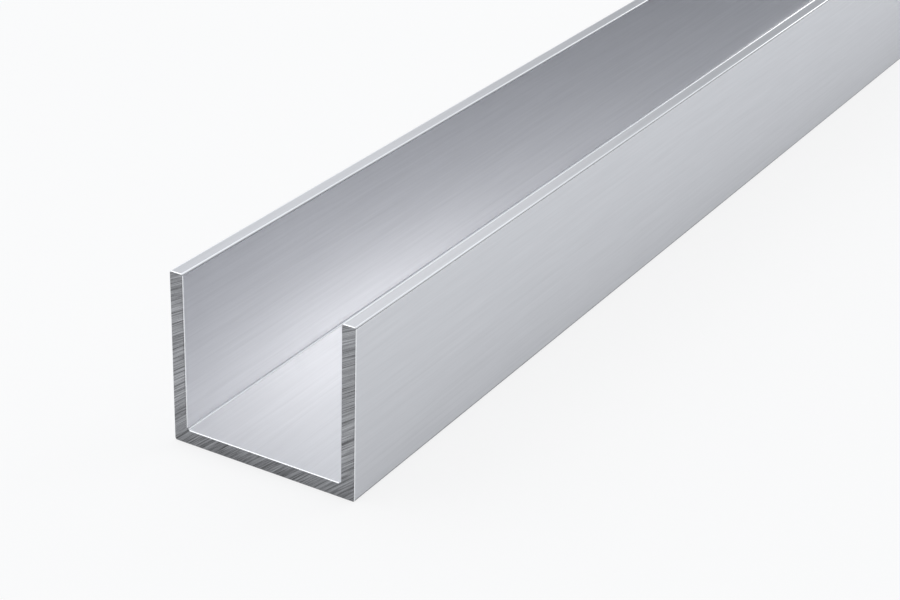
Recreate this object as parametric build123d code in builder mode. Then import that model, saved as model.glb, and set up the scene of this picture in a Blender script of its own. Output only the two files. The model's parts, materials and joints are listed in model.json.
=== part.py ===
"""Aluminium U channel: one straight length of extruded stock, sawn square at both ends.

Sizes are in millimetres. The origin is the middle of the web's underside, halfway along
the length. +Y runs along the length, +X across the web, and +Z up the flanges and out of
the open side.
"""

import os

from build123d import *

# Size as the stock is ordered
WIDTH = 40.0  # over both flanges
HEIGHT = 35.0  # from the web's underside to the flange tips
LENGTH = 1000.0  # between the sawn ends

# Walls
WEB_WALL = 3.0
FLANGE_WALL = 3.0

# Corner radii that the die gives the section
HEEL_RADIUS = 0.5  # outside corners, where the flanges meet the web
ROOT_RADIUS = 0.4  # inside corners, where the flanges meet the web
TIP_RADIUS = 0.4  # both edges of each flange tip

# Narrow bevel that the deburring file leaves all round each sawn end
DEBURR = 0.25

# The open channel between the flanges
CHANNEL_WIDTH = WIDTH - 2 * FLANGE_WALL
CHANNEL_DEPTH = HEIGHT - WEB_WALL

FROM_THE_UNDERSIDE = (Align.CENTER, Align.MIN)

with BuildPart() as u_channel:
    # The section, seen from the end with the channel opening upwards
    with BuildSketch(Plane.XZ) as section:
        Rectangle(WIDTH, HEIGHT, align=FROM_THE_UNDERSIDE)
        with Locations((0, WEB_WALL)):
            Rectangle(
                CHANNEL_WIDTH,
                CHANNEL_DEPTH,
                align=FROM_THE_UNDERSIDE,
                mode=Mode.SUBTRACT,
            )
        # Its corners lie at three heights: heels, roots and tips
        fillet(section.vertices().group_by(Axis.Y)[1], ROOT_RADIUS)
        fillet(section.vertices().group_by(Axis.Y)[-1], TIP_RADIUS)
        fillet(section.vertices().group_by(Axis.Y)[0], HEEL_RADIUS)
    extrude(amount=LENGTH / 2, both=True)

    sawn_ends = u_channel.faces().filter_by(Axis.Y)
    chamfer(sawn_ends.edges(), DEBURR)

u_channel.part.label = "u_channel"

os.makedirs("parts", exist_ok=True)
export_step(u_channel.part, "parts/u_channel.step")
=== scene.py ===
"""Aluminium U channel: the skin that the die leaves, the sawn ends and their filed edges.

Lengths are in metres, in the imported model's own frame: +Y along the channel, +Z out of its
open side, and the floor at Z = 0.
"""

import bisect
import json
import math
import random

import bmesh
import bpy
from bpy.props import FloatProperty, FloatVectorProperty, PointerProperty
from bpy.types import Operator, Panel, PropertyGroup
from mathutils import Matrix, Vector, noise


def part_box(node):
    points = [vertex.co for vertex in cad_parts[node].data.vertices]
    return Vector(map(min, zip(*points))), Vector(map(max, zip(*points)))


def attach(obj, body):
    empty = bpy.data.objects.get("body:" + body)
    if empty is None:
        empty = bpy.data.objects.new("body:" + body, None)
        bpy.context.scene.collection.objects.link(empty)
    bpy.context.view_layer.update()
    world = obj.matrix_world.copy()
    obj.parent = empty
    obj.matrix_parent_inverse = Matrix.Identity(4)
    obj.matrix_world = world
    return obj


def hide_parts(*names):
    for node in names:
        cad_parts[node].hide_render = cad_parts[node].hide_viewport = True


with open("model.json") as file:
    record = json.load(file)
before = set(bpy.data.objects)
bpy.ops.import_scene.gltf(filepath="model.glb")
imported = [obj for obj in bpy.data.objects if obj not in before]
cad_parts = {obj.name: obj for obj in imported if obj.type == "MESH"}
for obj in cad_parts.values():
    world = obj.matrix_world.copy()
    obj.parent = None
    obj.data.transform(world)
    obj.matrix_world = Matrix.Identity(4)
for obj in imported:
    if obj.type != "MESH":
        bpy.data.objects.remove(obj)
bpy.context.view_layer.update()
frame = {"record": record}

bl_info = {
    "name": "Aluminium U Channel",
    "version": (1, 0, 0),
    "blender": (4, 5, 0),
    "location": "View3D > Sidebar > Channel",
    "description": "Makes a sawn length of extruded aluminium U channel and the stage it lies on",
    "category": "Add Mesh",
}

NODE = "u_channel"
CORNER_LOW, CORNER_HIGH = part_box(NODE)
CHANNEL_SIZE = CORNER_HIGH - CORNER_LOW
MOUNT_PLACES = {mount["name"]: Vector(mount["pos_m"]) for mount in frame["record"]["mounts"]}

MM = 0.001
ROUND_STEPS = 10  # facets across each rounded corner
SAME = 1e-7  # two places closer than this are one
FILED_SHARE = 0.52  # of the bevel's width that the file leaves bright, next to the skin

# Parts of a face's normal, which tell the faces apart
FLAT_NORMAL = 0.999  # no part reaches this on a rounded corner
END_NORMAL = 0.9  # Y is over this on an end
SKIN_NORMAL = 0.1  # Y is under this on the skin
UNDERSIDE_NORMAL = -0.5  # Z is under this on the underside

# Saw marks
FIRST_SEED = 3  # for the marks of the front end, and the next one for the far end
SAW_ROW = 0.5 * MM  # height of the rows of facets that follow the blade's arc
SNAP = 0.004 * MM  # a cut this near a point goes through the point
MARK_WIDTHS = (0.5, 1.5)  # narrowest and widest, as shares of the middling width
PATCHES = 420.0  # patches of deep and shallow marks per metre
PATCH_SHIFT = 0.01  # metres between the patches of one seed and the next
PATCH_DEPTH, PATCH_RANGE = 0.6, 0.8  # middling depth of a patch, and how far patches differ

# Texture layout, in shares of its width and height
SKIN_SHARE, END_SHARE = 0.74, 0.25
SIDE_MARGIN, FOOT_MARGIN = 0.01, 0.02
END_RISE, FAR_END_START = 0.44, 0.5

# Material slots of the piece, in order. The heels' slot holds painted shade, standing in for the
# floor's contact shadow.
SKIN, SAWN, FILED, CORNER, SHADED_HEEL = range(5)

# Grain, in features per metre across, along and up
STREAKS = (1250.0, 38.0, 1250.0)
HAIRLINES = (5200.0, 85.0, 5200.0)
DIE_LINES = (2300.0, 1.5, 2300.0)
WIDE_SAW_STREAKS = (2900.0, 9.0, 120.0)
FINE_SAW_STREAKS = (5200.0, 31.0, 260.0)
SPECKLE = (3500.0, 3500.0, 3500.0)
FILE_SCRATCHES = (1300.0, 1300.0, 1300.0)
CORNER_STREAKS = (2500.0, 30.0, 2500.0)
HEEL_STREAKS = (2500.0, 60.0, 2500.0)

# Low and high of a grain, and what each adds to a tone of 1
STREAK_TONE = (0.25, 0.75, -0.026, 0.026)
HAIRLINE_TONE = (0.25, 0.75, -0.020, 0.020)
DIE_LINE_TONE = (0.25, 0.75, -0.014, 0.014)
WIDE_SAW_TONE = (0.32, 0.68, -0.30, 0.36)
FINE_SAW_TONE = (0.34, 0.66, -0.42, 0.52)
SPECKLE_TONE = (0.35, 0.65, -0.08, 0.08)

# Low and high of a grain or of the height on an end, and the tone at each
SCRATCH_TONE = (0.3, 0.7, 0.90, 1.04)
# Painted shade: the sawn ends darker low down, by height.
PAINTED_WEB_SHADE = (1.0 * MM, 7.0 * MM, 0.80, 1.0)

# Low and high of a grain, and the roughness at each. The skin's stays over 0.274. Below that
# the renderer's denoiser takes it for a mirror and draws the outlines of its streaks.
SKIN_ROUGHNESS = (0.2, 0.8, 0.278, 0.296)
SAWN_ROUGHNESS = (0.3, 0.7, 0.38, 0.54)
FILED_ROUGHNESS = (0.3, 0.7, 0.20, 0.27)
CORNER_ROUGHNESS = (0.3, 0.7, 0.15, 0.22)
HEEL_ROUGHNESS = (0.3, 0.7, 0.42, 0.55)

# Relief too fine for the mesh
SKIN_BUMP = {"Strength": 0.5, "Distance": 0.0008 * MM}
SAWN_BUMP = {"Strength": 0.8, "Distance": 0.02 * MM}
DIE_LINE_RELIEF = 0.5  # as a share of the hairlines' relief
FINE_SAW_RELIEF = 0.7  # as a share of the wide streaks' relief

# How the skin stretches its reflections across the die lines
SKIN_ANISOTROPY = 0.95
QUARTER_TURN = 0.25

HEEL_SHADE_TONE = 0.5  # share of the skin's colour on the heels: painted shade for the floor's contact shadow

# Azimuth and elevation in degrees, tightness and strength of a glow in the dome
LEFT_GLOW = (270.0, 25.0, 3.65, 0.84)
BACK_GLOW = (0.0, 30.0, 6.0, 0.22)
OVERHEAD_LIGHT = 0.94  # strength of the dome straight overhead

# Azimuth and elevation in degrees, width and height in metres, and radiance
SOFTBOXES = {
    "back_softbox": (12.0, 42.0, 1.6, 1.5, 0.88),
    "strip_softbox": (25.6, 33.6, 1.3, 0.38, 2.15),
    "left_softbox": (-27.0, 30.0, 0.9, 0.8, 0.25),
    "front_softbox": (225.0, 50.0, 1.2, 1.2, 0.6),
}


class ChannelSizes(PropertyGroup):
    """The channel's section and length."""

    width: FloatProperty(
        name="Width",
        description="Over both flanges",
        default=CHANNEL_SIZE.x,
        unit="LENGTH",
    )
    height: FloatProperty(
        name="Height",
        description="From the web's underside to the flange tips",
        default=CHANNEL_SIZE.z,
        unit="LENGTH",
    )
    length: FloatProperty(
        name="Length",
        description="Between the sawn ends",
        default=CHANNEL_SIZE.y,
        unit="LENGTH",
    )
    web_wall: FloatProperty(
        name="Web Wall",
        description="Thickness of the web",
        default=MOUNT_PLACES["web_inside"].z,
        unit="LENGTH",
    )
    flange_wall: FloatProperty(
        name="Flange Wall",
        description="Thickness of each flange",
        default=MOUNT_PLACES["left_flange_inside"].x - MOUNT_PLACES["left_flange_outside"].x,
        unit="LENGTH",
    )
    heel_radius: FloatProperty(
        name="Heel Radius",
        description="Outside corners, where the flanges meet the web",
        default=0.5 * MM,
        unit="LENGTH",
    )
    root_radius: FloatProperty(
        name="Root Radius",
        description="Inside corners, where the flanges meet the web",
        default=0.4 * MM,
        unit="LENGTH",
    )
    tip_radius: FloatProperty(
        name="Tip Radius",
        description="Both edges of each flange tip",
        default=0.4 * MM,
        unit="LENGTH",
    )
    deburr: FloatProperty(
        name="Deburr",
        description="Bevel that the file leaves round each sawn end",
        default=0.25 * MM,
        unit="LENGTH",
    )


class SawMarks(PropertyGroup):
    """The marks that the circular saw leaves on the ends."""

    blade_radius: FloatProperty(
        name="Blade Radius",
        description="Radius of the saw blade, and so of the marks it leaves",
        default=250.0 * MM,
        unit="LENGTH",
    )
    blade_drop: FloatProperty(
        name="Blade Drop",
        description="How far the blade's centre lay below the web's underside",
        default=190.0 * MM,
        unit="LENGTH",
    )
    land: FloatProperty(
        name="Land",
        description="Middling width of the flat between two marks, along the blade's travel",
        default=0.48 * MM,
        unit="LENGTH",
    )
    step: FloatProperty(
        name="Step",
        description="Middling width of the step that ends each mark, along the blade's travel",
        default=0.22 * MM,
        unit="LENGTH",
    )
    depth: FloatProperty(
        name="Depth",
        description="Depth of the deepest marks",
        default=0.07 * MM,
        unit="LENGTH",
    )


class Finish(PropertyGroup):
    """Colours of the metal."""

    skin_colour: FloatVectorProperty(
        name="Skin Colour",
        description="Aluminium as the die leaves it",
        default=(0.798, 0.801, 0.824),
        subtype="COLOR",
        min=0.0,
        max=1.0,
    )
    sawn_colour: FloatVectorProperty(
        name="Sawn Colour",
        description="Torn metal of the sawn ends",
        default=(0.345, 0.345, 0.353),
        subtype="COLOR",
        min=0.0,
        max=1.0,
    )
    filed_colour: FloatVectorProperty(
        name="Filed Colour",
        description="Bright metal of the filed edges, and of the tip and root corners",
        default=(0.960, 0.965, 0.975),
        subtype="COLOR",
        min=0.0,
        max=1.0,
    )


class Studio(PropertyGroup):
    """The floor, the light and the camera."""

    floor_colour: FloatVectorProperty(
        name="Floor Colour",
        description="Colour of the plain floor",
        default=(0.97, 0.97, 0.97),
        subtype="COLOR",
        min=0.0,
        max=1.0,
    )
    floor_glow: FloatProperty(
        name="Floor Glow",
        description="Share of plain white in the floor as the camera sees it",
        default=0.79,
        subtype="FACTOR",
        min=0.0,
        max=1.0,
    )
    reflected_glow: FloatProperty(
        name="Reflected Glow",
        description="Share of plain white in the floor as the metal reflects it",
        default=0.12,
        subtype="FACTOR",
        min=0.0,
        max=1.0,
    )
    floor_size: FloatProperty(
        name="Floor Size",
        description="Side of the square floor",
        default=12.0,
        unit="LENGTH",
    )
    lamp_colour: FloatVectorProperty(
        name="Lamp Colour",
        description="Colour of the softboxes",
        default=(1.0, 0.99, 0.97),
        subtype="COLOR",
        min=0.0,
        max=1.0,
    )
    dome_colour: FloatVectorProperty(
        name="Dome Colour",
        description="Colour of the studio's dome",
        default=(0.93, 0.96, 1.0),
        subtype="COLOR",
        min=0.0,
        max=1.0,
    )
    light_distance: FloatProperty(
        name="Light Distance",
        description="From each softbox to the point that the camera looks at",
        default=3.0,
        unit="LENGTH",
    )
    target: FloatVectorProperty(
        name="Target",
        description="The point near the front end that the camera looks at",
        default=(10.2068 * MM, -451.428 * MM, 17.5 * MM),
        subtype="XYZ",
    )
    azimuth: FloatProperty(
        name="Azimuth",
        description="How far round to the +X side of the front end the camera stands",
        default=math.radians(30.045),
        subtype="ANGLE",
    )
    elevation: FloatProperty(
        name="Elevation",
        description="How far the camera looks down",
        default=math.radians(26.585),
        subtype="ANGLE",
    )
    roll: FloatProperty(
        name="Roll",
        description="How far the camera leans to its left",
        default=math.radians(1.902),
        subtype="ANGLE",
    )
    distance: FloatProperty(
        name="Distance",
        description="From the camera to the point it looks at",
        default=404.28 * MM,
        unit="LENGTH",
    )
    lens: FloatProperty(
        name="Lens",
        description="Focal length in millimetres, for a sensor 36 mm wide",
        default=83.234,
    )


def add_node(tree, kind, inputs=None, **settings):
    """Adds a node, sets its settings, and gives each input a value or the socket that feeds it."""
    node = tree.nodes.new(kind)
    for name, value in settings.items():
        setattr(node, name, value)
    for name, value in (inputs or {}).items():
        socket = node.inputs[name]
        if isinstance(value, bpy.types.NodeSocket):
            tree.links.new(value, socket)
        else:
            socket.default_value = value
    return node


def calculate(tree, operation, first, second=0.0, third=0.0):
    """The output of a Math node."""
    values = {0: first, 1: second, 2: third}
    return add_node(tree, "ShaderNodeMath", values, operation=operation).outputs[0]


def stretch(tree, vector, scale):
    """The vector with each of its parts multiplied by its own scale."""
    values = {"Vector": vector, "Scale": scale}
    return add_node(tree, "ShaderNodeMapping", values, vector_type="POINT").outputs["Vector"]


def grain(tree, vector, detail=2.0, roughness=0.5):
    """Noise from 0 to 1, with features about one unit of the vector long."""
    values = {"Vector": vector, "Scale": 1.0, "Detail": detail, "Roughness": roughness}
    return add_node(tree, "ShaderNodeTexNoise", values, noise_dimensions="3D").outputs["Fac"]


def spread(tree, value, low, high, new_low, new_high):
    """The value moved from one range to another, and kept within it."""
    values = {"Value": value, 1: low, 2: high, 3: new_low, 4: new_high}
    return add_node(tree, "ShaderNodeMapRange", values, clamp=True).outputs["Result"]


def tint(tree, colour, factor):
    """The colour made darker or lighter by the factor."""
    scale = add_node(tree, "ShaderNodeVectorMath", {0: colour, 3: factor}, operation="SCALE")
    return scale.outputs["Vector"]


def new_material(name):
    """A material with one metal shader, its tree and that shader."""
    material = bpy.data.materials.new(name)
    material.use_nodes = True
    shader = material.node_tree.nodes["Principled BSDF"]
    shader.inputs["Metallic"].default_value = 1.0
    return material, material.node_tree, shader


def skin_material(finish):
    """Satin skin of the extrusion: soft streaks, hairlines and die lines, all along the length."""
    material, tree, shader = new_material("extruded_skin")
    place = add_node(tree, "ShaderNodeTexCoord").outputs["Object"]
    streaks = grain(tree, stretch(tree, place, STREAKS), detail=1.0)
    hairlines = grain(tree, stretch(tree, place, HAIRLINES), detail=2.0)
    die_lines = grain(tree, stretch(tree, place, DIE_LINES), detail=3.0)

    streak_tone = spread(tree, streaks, *STREAK_TONE)
    hair_tone = spread(tree, hairlines, *HAIRLINE_TONE)
    die_tone = spread(tree, die_lines, *DIE_LINE_TONE)
    tone = calculate(tree, "ADD", calculate(tree, "ADD", streak_tone, hair_tone), die_tone)
    colour = tint(tree, (*finish.skin_colour,), calculate(tree, "ADD", tone, 1.0))
    tree.links.new(colour, shader.inputs["Base Color"])
    tree.links.new(spread(tree, streaks, *SKIN_ROUGHNESS), shader.inputs["Roughness"])

    grooves = calculate(tree, "MULTIPLY", die_lines, DIE_LINE_RELIEF)
    relief = calculate(tree, "ADD", hairlines, grooves)
    bump = add_node(tree, "ShaderNodeBump", {**SKIN_BUMP, "Height": relief})
    tree.links.new(bump.outputs["Normal"], shader.inputs["Normal"])

    # The die drags the metal along Y, so reflections spread across that
    along = add_node(tree, "ShaderNodeCombineXYZ", {"Y": 1.0}).outputs["Vector"]
    turned = add_node(
        tree,
        "ShaderNodeVectorTransform",
        {"Vector": along},
        vector_type="VECTOR",
        convert_from="OBJECT",
        convert_to="WORLD",
    )
    tree.links.new(turned.outputs["Vector"], shader.inputs["Tangent"])
    shader.inputs["Anisotropic"].default_value = SKIN_ANISOTROPY
    shader.inputs["Anisotropic Rotation"].default_value = QUARTER_TURN
    return material


def sawn_material(finish, marks):
    """Torn metal of the ends, streaked along the arcs that the saw blade draws, with painted shade
    that darkens them towards the bottom.
    """
    material, tree, shader = new_material("sawn_end")
    place = add_node(tree, "ShaderNodeTexCoord").outputs["Object"]
    parts = add_node(tree, "ShaderNodeSeparateXYZ", {"Vector": place})
    drop = calculate(tree, "ADD", parts.outputs["Z"], marks.blade_drop)
    drop_squared = calculate(tree, "MULTIPLY", drop, drop)
    reach = calculate(tree, "SUBTRACT", marks.blade_radius**2, drop_squared)
    travel = calculate(tree, "ADD", parts.outputs["X"], calculate(tree, "SQRT", reach))
    along = add_node(
        tree,
        "ShaderNodeCombineXYZ",
        {"X": travel, "Y": parts.outputs["Y"], "Z": parts.outputs["Z"]},
    ).outputs["Vector"]
    wide = grain(tree, stretch(tree, along, WIDE_SAW_STREAKS), detail=1.0)
    fine = grain(tree, stretch(tree, along, FINE_SAW_STREAKS), detail=2.0, roughness=0.6)
    speckle = grain(tree, stretch(tree, place, SPECKLE), detail=2.0)

    wide_tone = spread(tree, wide, *WIDE_SAW_TONE)
    fine_tone = spread(tree, fine, *FINE_SAW_TONE)
    speckle_tone = spread(tree, speckle, *SPECKLE_TONE)
    tone = calculate(tree, "ADD", calculate(tree, "ADD", wide_tone, fine_tone), speckle_tone)
    # Painted shade: the end darker towards the bottom.
    painted_web_shade = spread(tree, parts.outputs["Z"], *PAINTED_WEB_SHADE)
    shade = calculate(tree, "MULTIPLY", calculate(tree, "ADD", tone, 1.0), painted_web_shade)
    tree.links.new(tint(tree, (*finish.sawn_colour,), shade), shader.inputs["Base Color"])
    tree.links.new(spread(tree, fine, *SAWN_ROUGHNESS), shader.inputs["Roughness"])

    relief = calculate(tree, "ADD", wide, calculate(tree, "MULTIPLY", fine, FINE_SAW_RELIEF))
    bump = add_node(tree, "ShaderNodeBump", {**SAWN_BUMP, "Height": relief})
    tree.links.new(bump.outputs["Normal"], shader.inputs["Normal"])
    return material


def scratched_material(name, colour, scale, roughness):
    """Metal with fine scratches, of a scale for each axis, and their range of roughness."""
    material, tree, shader = new_material(name)
    place = add_node(tree, "ShaderNodeTexCoord").outputs["Object"]
    scratches = grain(tree, stretch(tree, place, scale), detail=3.0, roughness=0.6)
    tone = tint(tree, (*colour,), spread(tree, scratches, *SCRATCH_TONE))
    tree.links.new(tone, shader.inputs["Base Color"])
    tree.links.new(spread(tree, scratches, *roughness), shader.inputs["Roughness"])
    return material


def filed_material(finish):
    """Bright metal where the file took the burr off."""
    return scratched_material("filed_edge", finish.filed_colour, FILE_SCRATCHES, FILED_ROUGHNESS)


def corner_material(finish):
    """Corners of the tips and roots, which the die leaves bright, streaked along the length."""
    colour = finish.filed_colour
    return scratched_material("die_bright_corner", colour, CORNER_STREAKS, CORNER_ROUGHNESS)


def heel_shade_material(finish):
    """Painted shade on the heels and under the ends: the skin's colour darkened for the floor's
    contact shadow, with rougher scratched metal.
    """
    shaded_skin = [HEEL_SHADE_TONE * part for part in finish.skin_colour]
    return scratched_material("heel_painted_shade", shaded_skin, HEEL_STREAKS, HEEL_ROUGHNESS)


def section_corners(sizes):
    """The section's sharp corners, anticlockwise seen from the front, each with its radius."""
    half = sizes.width / 2
    inside = half - sizes.flange_wall
    return (
        (-half, 0.0, sizes.heel_radius),
        (half, 0.0, sizes.heel_radius),
        (half, sizes.height, sizes.tip_radius),
        (inside, sizes.height, sizes.tip_radius),
        (inside, sizes.web_wall, sizes.root_radius),
        (-inside, sizes.web_wall, sizes.root_radius),
        (-inside, sizes.height, sizes.tip_radius),
        (-half, sizes.height, sizes.tip_radius),
    )


def draw_section(bm, sizes):
    """The section with its rounded corners, as one face where the front end's bevel starts."""
    start = -sizes.length / 2 + sizes.deburr
    radii = {}
    for x, z, radius in section_corners(sizes):
        radii[bm.verts.new((x, start, z))] = radius
    bm.faces.new(list(radii))
    for radius in sorted(set(radii.values())):
        bmesh.ops.bevel(
            bm,
            geom=[vert for vert, own in radii.items() if own == radius],
            offset=radius,
            offset_type="OFFSET",
            segments=ROUND_STEPS,
            profile=0.5,
            affect="VERTICES",
            material=-1,
        )
        radii = {vert: own for vert, own in radii.items() if vert.is_valid}
    return bm.faces[:][0]


def extrude_length(bm, section, sizes):
    """Draws the section out to the length and returns the two end faces, front first."""
    drawn = bmesh.ops.extrude_face_region(bm, geom=[section], use_keep_orig=True)["geom"]
    moved = [item for item in drawn if isinstance(item, bmesh.types.BMVert)]
    bmesh.ops.translate(bm, verts=moved, vec=(0.0, sizes.length - 2 * sizes.deburr, 0.0))
    bmesh.ops.recalc_face_normals(bm, faces=bm.faces[:])
    ends = [face for face in bm.faces if abs(face.normal.y) > END_NORMAL]
    return sorted(ends, key=lambda face: face.calc_center_median().y)


def round_off(bm, sizes):
    """Shades the rounded corners smooth, gives the heels painted shade for the floor's contact
    shadow, and makes the other corners bright metal.
    """
    for face in bm.faces:
        if max(abs(part) for part in face.normal) < FLAT_NORMAL:
            face.smooth = True
            at_heel = face.calc_center_median().z < sizes.heel_radius
            face.material_index = SHADED_HEEL if at_heel else CORNER


def file_ends(bm, ends, sizes):
    """Bevels both ends: filed bright next to the skin, sawn next to the end. In the roots the
    bevel takes the dark sawn colour as painted shade, and underneath it takes the heels' painted
    shade.
    """
    inside = sizes.width / 2 - sizes.flange_wall
    for share, material in ((FILED_SHARE, FILED), (1.0 - FILED_SHARE, SAWN)):
        rims = bmesh.ops.inset_individual(
            bm,
            faces=ends,
            thickness=share * sizes.deburr,
            depth=share * sizes.deburr,
            use_even_offset=True,
        )["faces"]
        for rim in rims:
            x, _, z = rim.calc_center_median()
            underneath = rim.normal.z < UNDERSIDE_NORMAL
            # Painted shade: the rims in the root corners take the dark sawn colour, for the shade
            # deep in those corners.
            if max(abs(abs(x) - inside), abs(z - sizes.web_wall)) < sizes.root_radius:
                rim.material_index = SAWN
            else:
                # The bevel's underside takes the heels' painted shade, for the floor's contact
                # shadow.
                rim.material_index = SHADED_HEEL if underneath else material


def mark_lines(marks, low, high, seed):
    """Where the marks' edges lie along the blade's travel, land and step in turn, and how deep."""
    rng = random.Random(seed)
    places, depths = [low], [0.0]
    while places[-1] < high:
        for width in (marks.land, marks.step):
            places.append(places[-1] + width * rng.uniform(*MARK_WIDTHS))
            depths.append(marks.depth * rng.random())
    return places, depths


def between(places, depths, place):
    """The depth at a place, straight from one mark to the next."""
    after = min(max(bisect.bisect_left(places, place), 1), len(places) - 1)
    start, end = places[after - 1], places[after]
    share = min(max((place - start) / (end - start), 0.0), 1.0)
    return depths[after - 1] + share * (depths[after] - depths[after - 1])


def slice_faces(bm, faces, point, normal):
    """Cuts the faces by a plane and returns them with their new parts."""
    geometry = set(faces)
    for face in faces:
        geometry.update(face.edges)
        geometry.update(face.verts)
    cut = bmesh.ops.bisect_plane(
        bm,
        geom=list(geometry),
        dist=SNAP,
        plane_co=point,
        plane_no=normal,
    )
    return [item for item in cut["geom"] if isinstance(item, bmesh.types.BMFace)]


def saw_end(bm, end, sizes, marks, seed):
    """Cuts one end along the saw's marks and sinks each mark by its own depth."""
    inward = -math.copysign(1.0, end.calc_center_median().y)
    level = end.calc_center_median().y

    def bow(z):
        return math.sqrt(marks.blade_radius**2 - (z + marks.blade_drop) ** 2)

    faces = [end]
    for count in range(1, int(sizes.height / SAW_ROW)):
        faces = slice_faces(bm, faces, (0.0, level, count * SAW_ROW), (0.0, 0.0, 1.0))

    # Shifted by the blade's arc, each mark is a straight line of constant X
    for vert in {vert for face in faces for vert in face.verts}:
        vert.co.x += bow(vert.co.z)
    low = -sizes.width / 2 + bow(sizes.height)
    high = sizes.width / 2 + bow(0.0)
    places, depths = mark_lines(marks, low, high, seed)
    for place in places:
        faces = slice_faces(bm, faces, (place, level, 0.0), (1.0, 0.0, 0.0))
    for vert in {vert for face in faces for vert in face.verts}:
        depth = between(places, depths, vert.co.x)
        vert.co.x -= bow(vert.co.z)
        patchy = noise.noise(Vector((vert.co.x, vert.co.z, PATCH_SHIFT * seed)) * PATCHES)
        vert.co.y += inward * depth * max(PATCH_DEPTH + PATCH_RANGE * patchy, 0.0)
    for face in faces:
        face.material_index = SAWN
        face.smooth = False
    bmesh.ops.triangulate(bm, faces=faces)


def unwrap(bm, sizes, outline):
    """Lays the skin out flat along the texture, with the two ends beside it."""
    layer = bm.loops.layers.uv.new("OFBake")
    girth = outline[-1][0]
    starts_at = {(round(x / SAME), round(z / SAME)): start for start, x, z in outline[:-1]}
    for face in bm.faces:
        on_skin = abs(face.normal.y) < SKIN_NORMAL
        far = face.calc_center_median().y > 0
        starts = []
        if on_skin:
            for loop in face.loops:
                x, _, z = loop.vert.co
                starts.append(starts_at[round(x / SAME), round(z / SAME)])
            if max(starts) - min(starts) > girth / 2:
                starts = [start or girth for start in starts]
        for index, loop in enumerate(face.loops):
            x, y, z = loop.vert.co
            if on_skin:
                loop[layer].uv = (SKIN_SHARE * starts[index] / girth, y / sizes.length + 0.5)
            else:
                room = END_SHARE - 2 * SIDE_MARGIN
                across = SIDE_MARGIN + room * (x / sizes.width + 0.5)
                up = FOOT_MARGIN + END_RISE * z / sizes.height + (FAR_END_START if far else 0.0)
                loop[layer].uv = (SKIN_SHARE + across, up)


def outline_of(section):
    """The section's outline from its first point round to it again: distance so far, X and Z."""
    points = [loop.vert.co.copy() for loop in section.loops]
    outline, distance = [], 0.0
    for here, after in zip(points, points[1:] + points[:1]):
        outline.append((distance, here.x, here.z))
        distance += (after - here).length
    outline.append((distance, points[0].x, points[0].z))
    return outline


class CHANNEL_OT_channel(Operator):
    """Make the channel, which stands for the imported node"""

    bl_idname = "channel.channel"
    bl_label = "Channel"

    def execute(self, context):
        scene = context.scene
        sizes, marks, finish = scene.channel_sizes, scene.channel_marks, scene.channel_finish
        bm = bmesh.new()
        section = draw_section(bm, sizes)
        outline = outline_of(section)
        ends = extrude_length(bm, section, sizes)
        round_off(bm, sizes)
        file_ends(bm, ends, sizes)
        for seed, end in enumerate(ends, start=FIRST_SEED):
            saw_end(bm, end, sizes, marks, seed)
        unwrap(bm, sizes, outline)
        mesh = bpy.data.meshes.new("channel")
        bm.to_mesh(mesh)
        bm.free()
        mesh.materials.append(skin_material(finish))
        mesh.materials.append(sawn_material(finish, marks))
        mesh.materials.append(filed_material(finish))
        mesh.materials.append(corner_material(finish))
        mesh.materials.append(heel_shade_material(finish))
        channel = bpy.data.objects.new("channel", mesh)
        scene.collection.objects.link(channel)
        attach(channel, "root")
        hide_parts(NODE)
        return {"FINISHED"}


def make_floor(scene, studio):
    """A plain pale floor with the channel's shadow, paler for the camera and in reflections."""
    material = bpy.data.materials.new("pale_floor")
    material.use_nodes = True
    tree = material.node_tree
    shader = tree.nodes["Principled BSDF"]
    shader.inputs["Base Color"].default_value = (*studio.floor_colour, 1.0)
    shader.inputs["Roughness"].default_value = 1.0
    shader.inputs["Specular IOR Level"].default_value = 0.0

    ray = add_node(tree, "ShaderNodeLightPath").outputs
    direct = calculate(tree, "MULTIPLY", ray["Is Camera Ray"], studio.floor_glow)
    reflected = calculate(tree, "MAXIMUM", ray["Is Glossy Ray"], ray["Is Transmission Ray"])
    share = calculate(tree, "MULTIPLY_ADD", reflected, studio.reflected_glow, direct)
    white = add_node(tree, "ShaderNodeEmission", {"Color": (1.0, 1.0, 1.0, 1.0), "Strength": 1.0})
    mix = {0: share, 1: shader.outputs[0], 2: white.outputs[0]}
    mixed = add_node(tree, "ShaderNodeMixShader", mix)
    tree.links.new(mixed.outputs[0], tree.nodes["Material Output"].inputs["Surface"])

    mesh = bpy.data.meshes.new("floor")
    bm = bmesh.new()
    bmesh.ops.create_grid(bm, x_segments=1, y_segments=1, size=studio.floor_size / 2)
    bm.to_mesh(mesh)
    bm.free()
    mesh.materials.append(material)
    floor = bpy.data.objects.new("floor", mesh)
    scene.collection.objects.link(floor)


def sky_direction(azimuth, elevation):
    """Unit vector to a place in the sky. Azimuth is in degrees from +Y towards +X."""
    turn, rise = math.radians(azimuth), math.radians(elevation)
    level = math.cos(rise)
    return Vector((math.sin(turn) * level, math.cos(turn) * level, math.sin(rise)))


def glow(tree, direction, azimuth, elevation, tightness, strength):
    """A soft round glow in the dome, brightest in the middle."""
    facing = add_node(
        tree,
        "ShaderNodeVectorMath",
        {0: direction, 1: sky_direction(azimuth, elevation)},
        operation="DOT_PRODUCT",
    ).outputs["Value"]
    falloff = calculate(tree, "POWER", calculate(tree, "MAXIMUM", facing, 0.0), tightness)
    return calculate(tree, "MULTIPLY", falloff, strength)


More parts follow.
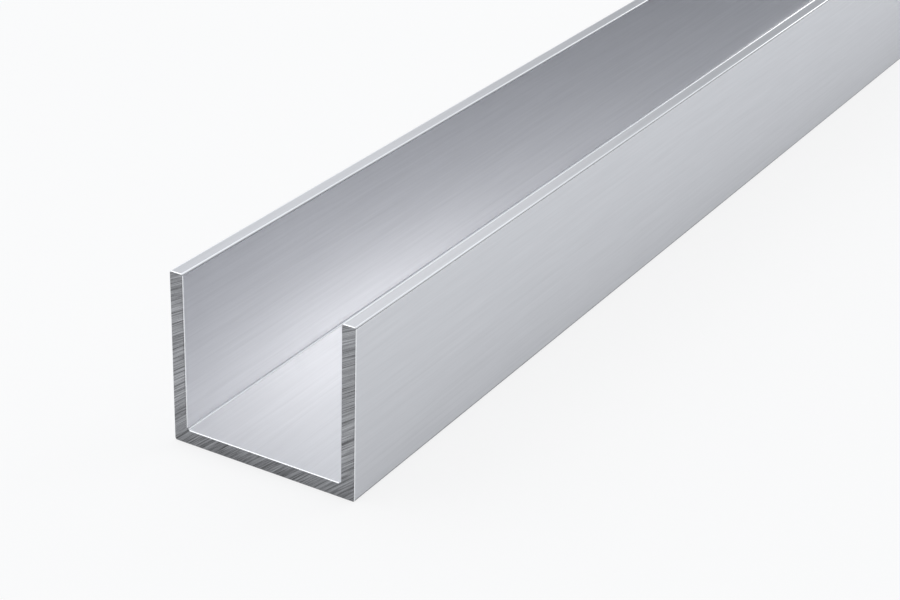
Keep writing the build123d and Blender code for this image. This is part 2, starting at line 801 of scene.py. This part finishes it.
def make_dome(scene, studio):
    """The studio's pale dome: bright overhead, dim at the horizon, with glows left and back."""
    world = bpy.data.worlds.new("studio_dome")
    world.use_nodes = True
    tree = world.node_tree
    direction = add_node(tree, "ShaderNodeTexCoord").outputs["Generated"]
    height = add_node(tree, "ShaderNodeSeparateXYZ", {"Vector": direction}).outputs["Z"]
    above = calculate(tree, "MAXIMUM", height, 0.0)
    overhead = calculate(tree, "MULTIPLY", above, OVERHEAD_LIGHT)
    left = glow(tree, direction, *LEFT_GLOW)
    back = glow(tree, direction, *BACK_GLOW)
    total = calculate(tree, "ADD", calculate(tree, "ADD", overhead, left), back)
    background = tree.nodes["Background"]
    background.inputs["Color"].default_value = (*studio.dome_colour, 1.0)
    tree.links.new(total, background.inputs["Strength"])
    scene.world = world


def make_softbox(scene, studio, name, azimuth, elevation, width, height, radiance):
    """An oval softbox that faces the channel's front end, its width turned round the Y axis."""
    lamp = bpy.data.lights.new(name, "AREA")
    lamp.shape = "ELLIPSE"
    lamp.size = width
    lamp.size_y = height
    # The oval's area is pi / 4 of its box, and its power is pi times radiance times area
    lamp.energy = radiance * math.pi * math.pi * width * height / 4
    lamp.color = studio.lamp_colour
    softbox = bpy.data.objects.new(name, lamp)
    backwards = sky_direction(azimuth, elevation)
    side = Vector((0.0, 1.0, 0.0)).cross(backwards).normalized()
    turn = Matrix((side, backwards.cross(side), backwards)).transposed().to_4x4()
    place = Vector(studio.target) + studio.light_distance * backwards
    softbox.matrix_world = Matrix.Translation(place) @ turn
    scene.collection.objects.link(softbox)


def make_camera(scene, studio):
    """The camera that sees the channel as the photograph does."""
    data = bpy.data.cameras.new("camera")
    data.sensor_width = 36.0
    data.lens = studio.lens
    camera = bpy.data.objects.new("camera", data)
    backwards = Vector((
        math.sin(studio.azimuth) * math.cos(studio.elevation),
        -math.cos(studio.azimuth) * math.cos(studio.elevation),
        math.sin(studio.elevation),
    ))
    turn = backwards.to_track_quat("Z", "Y").to_matrix().to_4x4()
    lean = Matrix.Rotation(studio.roll, 4, "Z")
    place = Matrix.Translation(Vector(studio.target) + studio.distance * backwards)
    camera.matrix_world = place @ turn @ lean
    scene.collection.objects.link(camera)
    scene.camera = camera


class CHANNEL_OT_stage(Operator):
    """Make the floor, the light and the camera"""

    bl_idname = "channel.stage"
    bl_label = "Stage"

    def execute(self, context):
        scene = context.scene
        studio = scene.channel_studio
        make_floor(scene, studio)
        make_dome(scene, studio)
        for name, values in SOFTBOXES.items():
            make_softbox(scene, studio, name, *values)
        make_camera(scene, studio)
        scene.view_settings.view_transform = "Standard"
        return {"FINISHED"}


class CHANNEL_PT_parts(Panel):
    """The channel and its stage, in the sidebar"""

    bl_idname = "CHANNEL_PT_parts"
    bl_label = "Aluminium U Channel"
    bl_space_type = "VIEW_3D"
    bl_region_type = "UI"
    bl_category = "Channel"

    def draw(self, context):
        layout = self.layout
        for owner in SCENE_GROUPS:
            group = getattr(context.scene, owner)
            column = layout.column()
            for name in group.bl_rna.properties.keys():
                if name not in ("rna_type", "name"):
                    column.prop(group, name)
        layout.operator(CHANNEL_OT_channel.bl_idname)
        layout.operator(CHANNEL_OT_stage.bl_idname)


SCENE_GROUPS = {
    "channel_sizes": ChannelSizes,
    "channel_marks": SawMarks,
    "channel_finish": Finish,
    "channel_studio": Studio,
}
CLASSES = (*SCENE_GROUPS.values(), CHANNEL_OT_channel, CHANNEL_OT_stage, CHANNEL_PT_parts)


def register():
    for cls in CLASSES:
        bpy.utils.register_class(cls)
    for owner, group in SCENE_GROUPS.items():
        setattr(bpy.types.Scene, owner, PointerProperty(type=group))


def unregister():
    for owner in SCENE_GROUPS:
        delattr(bpy.types.Scene, owner)
    for cls in reversed(CLASSES):
        bpy.utils.unregister_class(cls)


def main():
    register()
    bpy.ops.channel.channel()
    bpy.ops.channel.stage()


if __name__ == "__main__":
    main()
